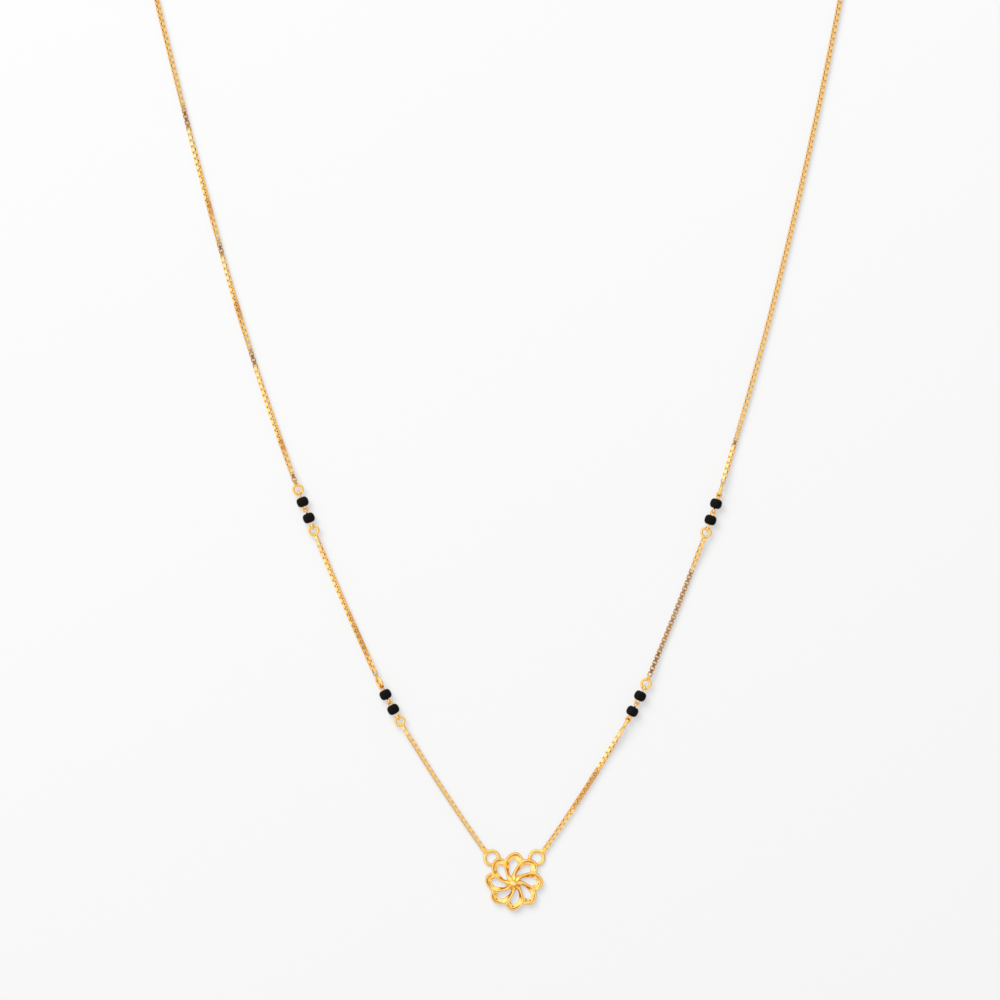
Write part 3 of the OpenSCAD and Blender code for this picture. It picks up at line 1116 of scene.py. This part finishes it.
        def unwanted(centre: Vector, normal: Vector) -> bool:
            """Says whether a wall belongs to an end or to the neighbour's seat.

            Args:
                centre: The wall's centre.
                normal: Its normal.

            Returns:
                Whether it goes.
            """
            if abs(normal.z) > 0.3:
                return False
            flat = centre.to_2d()
            for a, b in ends:
                share = (flat - a).dot(b - a) / (b - a).length_squared
                if 0 < share < 1 and (a + (b - a) * share - flat).length < 0.02:
                    return True
            return any((wall - flat).length < 0.02 for wall in walls)

        select_faces(strap, unwanted)
        bpy.ops.mesh.delete(type="FACE")

    def _flower(self, strap: Shape) -> Shape:
        """Sets the petals round, grows them together and closes the hub.

        Args:
            strap: One petal's strap, which is used up.

        Returns:
            The flower without its dome.
        """
        step = math.tau / self.petals
        others = range(1, self.petals)
        copies = [copy_of(strap, Matrix.Rotation(step * number, 4, "Z")) for number in others]
        flower = join([strap, *copies], "flower")
        tail = self.row_at(self.stations[-1])
        meeting = Vector(((tail.rim_x + tail.edge_x) / 2, (tail.rim_y + tail.edge_y) / 2, 0))
        with editing(flower):
            close_doubles()
            for number in range(self.petals):
                place = Matrix.Rotation(step * number, 3, "Z") @ meeting
                select_edges(
                    flower,
                    lambda a, b: ((a + b) / 2 - place).to_2d().length < self.meeting_reach
                    and a.to_2d().length > self.hub_clear,
                    rims=True,
                )
                bpy.ops.mesh.bridge_edge_loops()
            self._close_hub(flower)
            close_doubles()
            self._crease(flower)
        subdivide_smoothly(flower, 2)
        return flower

    def _close_hub(self, flower: Shape) -> None:
        """Draws the arms in under the dome, closes the back, and moves the middle to the dome's place.

        Args:
            flower: The flower, open in edit mode.
        """
        hub = self.hub_reach
        select_edges(flower, lambda a, b: a.to_2d().length < hub and min(a.z, b.z) > 0.3, rims=True)
        for width, height in self.hub_steps:
            extrude()
            grow((width, width, height), (0, 0, self.hub_top))
        bpy.ops.mesh.edge_face_add()
        select_edges(flower, lambda a, b: a.to_2d().length < hub and max(a.z, b.z) < 0.1, rims=True)
        bpy.ops.mesh.edge_face_add()
        bpy.ops.mesh.poke()
        select_points(flower, lambda p: p.length < 0.05)
        bpy.ops.transform.translate(
            value=(*self.dome_shift, 0), use_proportional_edit=True,
            proportional_edit_falloff="LINEAR", proportional_size=self.radius,
        )

    def _crease(self, flower: Shape) -> None:
        """Keeps the flat back's outline crisp, and the upper rims of the walls a little less so.

        Args:
            flower: The flower, open in edit mode.
        """
        select_edges(flower, lambda a, b: max(a.z, b.z) < NEAR)
        bpy.ops.transform.edge_crease(value=1)
        select_faces(flower, lambda centre, normal: abs(normal.z) < 0.1)
        bpy.ops.mesh.region_to_loop()
        bpy.ops.transform.edge_crease(value=self.rim_crease)

    def _dome(self) -> Shape:
        """Rounds the small dome and cuts its facets.

        Returns:
            The dome.
        """
        bpy.ops.mesh.primitive_uv_sphere_add(segments=24, ring_count=12, radius=self.dome_radius)
        dome = bpy.context.object
        base = self.dome_base
        tall = self.dome_height - base
        with editing(dome):
            select_all()
            grow((1, 1, tall / self.dome_radius))
            shift((*self.dome_shift, base))
            bpy.ops.mesh.bisect(
                plane_co=(0, 0, base / 2), plane_no=(0, 0, 1), use_fill=True, clear_inner=True
            )
            middle = Vector((*self.dome_shift, base))
            for bearing, lean, distance in self.facets:
                leaning = Vector((math.sin(math.radians(lean)), 0, math.cos(math.radians(lean))))
                outwards = Matrix.Rotation(math.radians(bearing), 3, "Z") @ leaning
                select_all()
                bpy.ops.mesh.bisect(
                    plane_co=middle + outwards * distance, plane_no=outwards, use_fill=True,
                    clear_outer=True, threshold=TOUCHING,
                )
        return dome

    def _ear(self) -> Shape:
        """Makes the right ear, with its neck towards the chain's first link.

        Returns:
            The ear.
        """
        ear = self.ear_ring.build()
        bearing = math.atan2(self.link_at[1] - self.ear_at[1], self.link_at[0] - self.ear_at[0])
        place = Matrix.Translation((*self.ear_at, self.ear_height))
        ear.data.transform(place @ Matrix.Rotation(bearing + math.pi, 4, "Z"))
        return ear


def new_material(name: str) -> bpy.types.Material:
    """Makes a material with a node tree that holds the Principled BSDF."""
    material = bpy.data.materials.new(name)
    material.use_nodes = True
    return material


def feed(
    tree: bpy.types.NodeTree, node: bpy.types.Node, inputs: dict[str | int, object]
) -> bpy.types.Node:
    """Fills a node's inputs.

    Args:
        tree: The node tree that it stands in.
        node: The node.
        inputs: The name or number of each input, with the socket to link to it or its value.

    Returns:
        The same node.
    """
    for name, value in inputs.items():
        if isinstance(value, bpy.types.NodeSocket):
            tree.links.new(value, node.inputs[name])
        else:
            node.inputs[name].default_value = value
    return node


def add_node(
    tree: bpy.types.NodeTree, kind: str, inputs: dict[str | int, object] | None = None, **settings: object
) -> bpy.types.Node:
    """Adds a node to a tree.

    Args:
        tree: The node tree.
        kind: The node's type, without its first words.
        inputs: Its inputs, as feed takes them.
        settings: Its own properties and their values.

    Returns:
        The node.
    """
    node = tree.nodes.new(f"ShaderNode{kind}")
    for name, value in settings.items():
        setattr(node, name, value)
    return feed(tree, node, inputs or {})


def mixed(
    tree: bpy.types.NodeTree, share: bpy.types.NodeSocket, first: object, second: object
) -> bpy.types.NodeSocket:
    """Mixes two colours.

    Args:
        tree: The node tree.
        share: The socket that says how much of the second colour shows.
        first: The first colour, or the socket that gives it.
        second: The same for the second colour.

    Returns:
        The socket of the mixed colour.
    """
    inputs = {"Factor": share, "A": first, "B": second}
    return add_node(tree, "Mix", inputs, data_type="RGBA").outputs["Result"]


@dataclass(frozen=True)
class Gold:
    """A polished gold: its colour, the deeper orange painted into its hollows as shade and as gold mirrored
    in gold, and how smooth it is.
    """

    name: str
    colour: tuple[float, float, float]
    hollow: tuple[float, float, float]
    roughness: float
    ripple: float

    def material(self, polish_and_shade: bpy.types.NodeTree) -> bpy.types.Material:
        """Makes the material.

        Args:
            polish_and_shade: The node group of polishing marks and painted hollow shade that all the metals
                share.

        Returns:
            The material.
        """
        material = new_material(self.name)
        tree = material.node_tree
        # The group paints shade into the hollows of the base colour, beside its polishing marks.
        marks_and_shade = add_node(tree, "Group", {
            "Colour": (*self.colour, 1), "Hollow": (*self.hollow, 1),
            "Roughness": self.roughness, "Ripple": self.ripple,
        }, node_tree=polish_and_shade)
        bump = add_node(tree, "Bump", {
            "Strength": 1.0, "Distance": BUMP_HEIGHT, "Height": marks_and_shade.outputs["Height"],
        })
        feed(tree, tree.nodes["Principled BSDF"], {
            "Metallic": 1.0, "Base Color": marks_and_shade.outputs["Colour"],
            "Roughness": marks_and_shade.outputs["Roughness"], "Normal": bump.outputs["Normal"],
        })
        return material


def polish_and_shade_group() -> bpy.types.NodeTree:
    """Builds the node group of soft ripples and faint smudges of a hand-polished metal, and of painted
    shade that turns its hollows a deeper orange.

    Returns:
        The group.
    """
    group = bpy.data.node_groups.new("polish_marks", "ShaderNodeTree")
    colour, number = "NodeSocketColor", "NodeSocketFloat"
    sockets = (
        ("INPUT", {"Colour": colour, "Hollow": colour, "Roughness": number, "Ripple": number}),
        ("OUTPUT", {"Colour": colour, "Roughness": number, "Height": number}),
    )
    for way, kinds in sockets:
        for name, kind in kinds.items():
            group.interface.new_socket(name, in_out=way, socket_type=kind)
    given = group.nodes.new("NodeGroupInput")
    place = add_node(group, "TexCoord").outputs["Object"]

    def noise(scale: float, detail: float) -> bpy.types.NodeSocket:
        """Adds a noise texture.

        Args:
            scale: Its scale per metre.
            detail: Its detail.

        Returns:
            The socket of its grey value.
        """
        inputs = {"Scale": scale, "Detail": detail, "Vector": place}
        return add_node(group, "TexNoise", inputs).outputs["Fac"]

    def maths(kind: str, *values: object) -> bpy.types.NodeSocket:
        """Adds a math node.

        Args:
            kind: What it does.
            values: The sockets or numbers that it works on.

        Returns:
            The socket of its result.
        """
        return add_node(group, "Math", dict(enumerate(values)), operation=kind).outputs[0]

    # Painted shade: ambient occlusion mixes the hollows towards a deeper orange, standing in for shade and
    # for gold mirrored in gold.
    hollow_occlusion = add_node(group, "AmbientOcclusion", {"Distance": 0.5 * MM}, samples=8)
    painted_shade, plain = given.outputs["Hollow"], given.outputs["Colour"]
    smudge = maths("MULTIPLY_ADD", noise(scale=1800, detail=3), 0.12, -0.06)
    feed(group, group.nodes.new("NodeGroupOutput"), {
        "Colour": mixed(group, maths("POWER", hollow_occlusion.outputs["AO"], 1.5), painted_shade, plain),
        "Roughness": maths("ADD", given.outputs["Roughness"], smudge),
        "Height": maths("MULTIPLY", noise(scale=2600, detail=2), given.outputs["Ripple"]),
    })
    return group


@dataclass(frozen=True)
class BlackGlass:
    """The opaque black glass of the beads."""

    name: str = "black_bead_glass"
    colour: tuple[float, float, float] = (0.0012, 0.0012, 0.0014)
    roughness: float = 0.14

    def material(self) -> bpy.types.Material:
        """Makes the material, with the faint waves of pressed glass.

        Returns:
            The material.
        """
        material = new_material(self.name)
        tree = material.node_tree
        place = add_node(tree, "TexCoord").outputs["Object"]
        cloud = add_node(tree, "TexNoise", {"Scale": 1500, "Vector": place}).outputs["Fac"]
        lighter = (*(2 * part for part in self.colour), 1)
        sheen = add_node(tree, "MapRange", {
            "Value": cloud, "To Min": self.roughness - 0.04, "To Max": self.roughness + 0.06,
        })
        bump = add_node(tree, "Bump", {"Strength": 0.4, "Distance": BUMP_HEIGHT, "Height": cloud})
        feed(tree, tree.nodes["Principled BSDF"], {
            "IOR": 1.52, "Specular IOR Level": 0.05,
            "Base Color": mixed(tree, cloud, (*self.colour, 1), lighter),
            "Roughness": sheen.outputs["Result"], "Normal": bump.outputs["Normal"],
        })
        return material


class Finish(Enum):
    """The finishes of the necklace, named as the record's slots are."""

    CAST_GOLD = "cast_gold"
    CHAIN_GOLD = "chain_gold"
    WIRE_GOLD = "wire_gold"
    BLACK_GLASS = "black_glass"


def finishes() -> dict[Finish, bpy.types.Material]:
    """Makes every finish once.

    Returns:
        The material of each finish.
    """
    polish_and_shade = polish_and_shade_group()
    # Each gold: its colour, the deeper orange of its painted hollow shade, its roughness and its ripple.
    golds = {
        Finish.CAST_GOLD: ((0.98, 0.71, 0.25), (0.84, 0.49, 0.11), 0.16, 0.5),
        Finish.CHAIN_GOLD: ((0.98, 0.72, 0.28), (0.86, 0.42, 0.08), 0.14, 0.3),
        Finish.WIRE_GOLD: ((0.98, 0.71, 0.25), (0.86, 0.40, 0.07), 0.15, 0.3),
    }
    made = {finish: Gold(finish.value, *look).material(polish_and_shade) for finish, look in golds.items()}
    made[Finish.BLACK_GLASS] = BlackGlass().material()
    return made


@dataclass(frozen=True)
class Patch:
    """A soft patch of the studio that the metal mirrors: where it is, how wide, and its colour."""

    bearing: float
    rise: float
    inner: float
    outer: float
    colour: tuple[float, float, float]

    @property
    def towards(self) -> tuple[float, float, float]:
        """The direction in which the middle of the patch lies."""
        bearing, rise = math.radians(self.bearing), math.radians(self.rise)
        return math.cos(bearing) * math.cos(rise), math.sin(bearing) * math.cos(rise), math.sin(rise)


@dataclass(frozen=True)
class Studio:
    """The pale table, the soft light and the camera straight above."""

    photo_width: float = 145.5
    middle: tuple[float, float] = (-2.05, 55.44)
    lens: float = 135.0
    sensor: float = 36.0
    clip: tuple[float, float] = (0.01, 20.0)
    table_size: float = 3000.0
    table_tone: float = 0.12
    table_glow: float = 0.585
    # Painted shade: the table as the metal mirrors it, darker and warmer than it is.
    mirrored_shaded_glow: tuple[float, float, float] = (0.50, 0.35, 0.21)
    tent: tuple[float, float, float] = (1.25, 1.2, 1.12)
    patches: tuple[Patch, ...] = (
        Patch(123, 42, 20, 60, (1.45, 1.38, 1.28)),
        Patch(15, 50, 14, 46, (0.95, 0.87, 0.69)),
        Patch(-3, -6, 30, 47, (0.60, 0.35, 0.18)),
        Patch(-85, 30, 20, 52, (0.89, 0.73, 0.62)),
        Patch(-95, -8, 18, 40, (0.55, 0.29, 0.10)),
        Patch(90, 80, 9, 17, (0.30, 0.16, 0.07)),
    )
    key_at: tuple[float, float, float] = (-0.45, 0.75, 0.9)
    key_size: tuple[float, float] = (0.9, 0.8)
    key_power: float = 52.0

    def build(self) -> None:
        """Sets up the table, the light, the camera and the colour management."""
        self._table()
        self._world()
        self._key_light()
        self._camera()
        bpy.context.scene.view_settings.view_transform = "Standard"

    def _table(self) -> None:
        """Lays the table just under the necklace, evenly bright, with painted shade in what the metal
        mirrors of it.
        """
        bpy.ops.mesh.primitive_plane_add(size=self.table_size * MM, location=(0, 0, -FLOOR_DROP * MM))
        table = bpy.context.object
        pick(table)
        bpy.ops.object.transform_apply(location=True, rotation=True, scale=True)
        table.name = "table"
        paper = new_material("table_paper")
        tree = paper.node_tree
        # Painted shade: glossy rays see the table dimmer and warm, as if shaded beside the gold.
        mirrored = add_node(tree, "LightPath").outputs["Is Glossy Ray"]
        plain = (*(self.table_glow,) * 3, 1)
        feed(tree, tree.nodes["Principled BSDF"], {
            "Base Color": (*(self.table_tone,) * 3, 1), "Roughness": 0.9, "Specular IOR Level": 0.0,
            "Emission Strength": 1.0,
            "Emission Color": mixed(tree, mirrored, plain, (*self.mirrored_shaded_glow, 1)),
        })
        table.data.materials.append(paper)

    def _world(self) -> None:
        """Surrounds the table with even light, and with a shaded studio for what the metal mirrors."""
        world = bpy.data.worlds.new("studio")
        bpy.context.scene.world = world
        world.use_nodes = True
        tree = world.node_tree
        tree.nodes.clear()
        place = add_node(tree, "TexCoord").outputs["Generated"]
        colour = (*self.tent, 1)
        for patch in self.patches:
            facing = add_node(tree, "VectorMath", {0: place, 1: patch.towards}, operation="DOT_PRODUCT")
            fade = add_node(tree, "MapRange", {
                "Value": facing.outputs["Value"],
                "From Min": math.cos(math.radians(patch.outer)),
                "From Max": math.cos(math.radians(patch.inner)),
            }, interpolation_type="SMOOTHSTEP")
            colour = mixed(tree, fade.outputs["Result"], colour, (*patch.colour, 1))
        mirrored = add_node(tree, "Background", {"Color": colour}).outputs[0]
        even = add_node(tree, "Background", {"Strength": 1.0}).outputs[0]
        glossy = add_node(tree, "LightPath").outputs["Is Glossy Ray"]
        choice = add_node(tree, "MixShader", {0: glossy, 1: even, 2: mirrored})
        add_node(tree, "OutputWorld", {"Surface": choice.outputs[0]})

    def _key_light(self) -> None:
        """Hangs a large soft light at the upper left, which draws the faint shadows."""
        bpy.ops.object.light_add(type="AREA", location=self.key_at)
        key = bpy.context.object
        key.name = "key_light"
        key.data.shape = "RECTANGLE"
        key.data.size, key.data.size_y = self.key_size
        key.data.energy = self.key_power
        key.visible_glossy = False
        target = Vector((self.middle[0] * MM, self.middle[1] * MM, 0))
        key.rotation_euler = (target - key.location).to_track_quat("-Z", "Y").to_euler()

    def _camera(self) -> None:
        """Hangs the camera straight above the middle of the photo's frame."""
        distance = self.lens / self.sensor * self.photo_width
        bpy.ops.object.camera_add(
            location=(self.middle[0] * MM, self.middle[1] * MM, distance * MM), rotation=ORIGIN
        )
        camera = bpy.context.object
        camera.data.lens = self.lens
        camera.data.sensor_width = self.sensor
        camera.data.clip_start, camera.data.clip_end = self.clip
        bpy.context.scene.camera = camera


@dataclass(frozen=True)
class Mangalsutra:
    """The whole necklace, put together from its sub-assemblies."""

    loop: Loop = Loop()
    box_link: BoxLink = BoxLink()
    pendant: FlowerPendant = FlowerPendant()
    bead: Bead = Bead()
    clasp: Clasp = Clasp()
    left_slack: float = 0.09
    lower_links: dict[Side, int] = field(default_factory=lambda: {Side.RIGHT: 47, Side.LEFT: 48})
    middle_links: dict[Side, int] = field(default_factory=lambda: {Side.RIGHT: 48, Side.LEFT: 49})
    twists: dict[str, tuple[tuple[float, float], ...]] = field(default_factory=lambda: {
        "right_lower_chain": (
            (0, 12), (1.5, 12), (5.5, 22), (8, 38), (14, 42), (16, 60), (19, 68), (21, 90),
        ),
        "right_middle_chain": ((0, 0), (1.5, -2), (16.5, -2), (17.7, 15), (20.7, 15), (21.4, 0)),
        "right_upper_chain": (
            (0, 0), (0.8, -18), (5.3, -18), (6.5, 3), (11, 6), (12.5, 15), (18.5, 15), (19.5, 10),
            (22.5, 10), (24, 14), (29, 15), (71, 15), (110, 0),
        ),
        "left_lower_chain": ((0, 13), (19.5, 13), (21, 0)),
        "left_middle_chain": ((0, 0), (1.7, 38), (10, 48), (18, 62), (20.5, 75), (21.8, 90)),
        "left_upper_chain": (
            (0, 0), (2, 15), (6.2, 45), (18.7, 90), (27.2, 135), (35.2, 180), (42.7, 225),
            (54.7, 270), (58.2, 285), (71, 300), (110, 360),
        ),
    })

    def build(self, materials: dict[Finish, bpy.types.Material]) -> None:
        """Builds and dresses every piece.

        Args:
            materials: The material of each finish.
        """
        routes = self.loop.closed()
        link = self.box_link.build()
        small_ring = SolderedRing().build()
        clasp_ring = self.clasp.ring.build()
        bead = self.bead.build()
        self._finish("flower_pendant", self.pendant.build(link, routes), Finish.CAST_GOLD, materials)
        for side, route in routes.items():
            pairs = self._pairs(side)
            for pair in pairs:
                for node, piece in pair.build(link, small_ring, bead, route):
                    finish = Finish.BLACK_GLASS if node.endswith("bead") else Finish.WIRE_GOLD
                    self._finish(node, piece, finish, materials)
            for stretch in self._stretches(side, route, pairs):
                play = random.Random(stretch.node)
                chain = stretch.build(self.box_link, link, route, play)
                self._finish(stretch.node, chain, Finish.CHAIN_GOLD, materials)
            node = f"{side.name.lower()}_clasp_ring"
            self._finish(node, self.clasp.build_ring(link, clasp_ring, route), Finish.WIRE_GOLD, materials)
        right_end = routes[Side.RIGHT].stance(routes[Side.RIGHT].length)
        middle = Stance(right_end.x - self.loop.clasp_half, right_end.y, 0)
        self._finish("s_hook", self.clasp.build_hook(middle), Finish.WIRE_GOLD, materials)
        for template in (link, small_ring, clasp_ring, bead):
            discard(template)

    def _pairs(self, side: Side) -> list[BeadPair]:
        """Gives the two bead pairs of a side.

        Args:
            side: The side.

        Returns:
            The lower pair and the upper one.
        """
        turns = {
            Side.RIGHT: ((90, 0, 90, 0, 90, 0), (0, 90, 0, 90, 0, 90)),
            Side.LEFT: ((0, 90, 0, 90, 30, 60), (0, 90, 90, 0, 90, 0)),
        }[side]
        pitch = self.box_link.pitch
        slack = self.left_slack if side is Side.LEFT else 0.0
        lower = BeadPair(side, "lower", self.lower_links[side] * pitch, turns[0], slack=slack)
        upper_start = lower.start + lower.length + self.middle_links[side] * pitch
        return [lower, BeadPair(side, "upper", upper_start, turns[1])]

    def _stretches(self, side: Side, route: Route, pairs: list[BeadPair]) -> list[Stretch]:
        """Gives the three stretches of chain of a side.

        Args:
            side: The side.
            route: Its route.
            pairs: Its bead pairs, the lower one first.

        Returns:
            The stretches from the flower to the clasp.
        """
        low, high = pairs
        middle_start, upper_start = low.start + low.length, high.start + high.length
        upper_links = 2 * round((route.length - upper_start) / self.box_link.pitch / 2)
        level, held, clasped, ramp = HEIGHTS.chain, HEIGHTS.bead, HEIGHTS.clasp, HEIGHTS.bead_ramp
        spans = {
            "lower": (0.0, low.start, self.lower_links[side], level, held, ramp),
            "middle": (middle_start, high.start, self.middle_links[side], held, held, ramp),
            "upper": (upper_start, route.length, upper_links, held, clasped, HEIGHTS.clasp_ramp),
        }
        stretches = []
        for name, span in spans.items():
            node = f"{side.name.lower()}_{name}_chain"
            rolls = tuple((span[0] + along, roll) for along, roll in self.twists[node])
            stretches.append(Stretch(node, side, *span, rolls))
        return stretches

    def _finish(
        self, node: str, piece: Shape, finish: Finish, materials: dict[Finish, bpy.types.Material]
    ) -> None:
        """Names, dresses and scales a piece, and lets it stand for its node.

        Args:
            node: The node that the piece replaces.
            piece: The piece, in millimetres.
            finish: What it is made of.
            materials: The material of each finish.
        """
        piece.name = f"{node}_fine"
        piece.data.materials.clear()
        piece.data.materials.append(materials[finish])
        to_metres(piece, SMOOTH_ANGLE)
        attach(piece, "root")
        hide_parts(node)
        LOG.info("%s: %d faces", piece.name, len(piece.data.polygons))


def main() -> None:
    """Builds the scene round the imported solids."""
    logging.basicConfig(level=logging.INFO, format="%(message)s")
    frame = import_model()
    deselect()
    Mangalsutra().build(finishes())
    Studio().build()
    LOG.info("%d nodes dressed", len(frame["nodes"]))


if __name__ == "__main__":
    main()
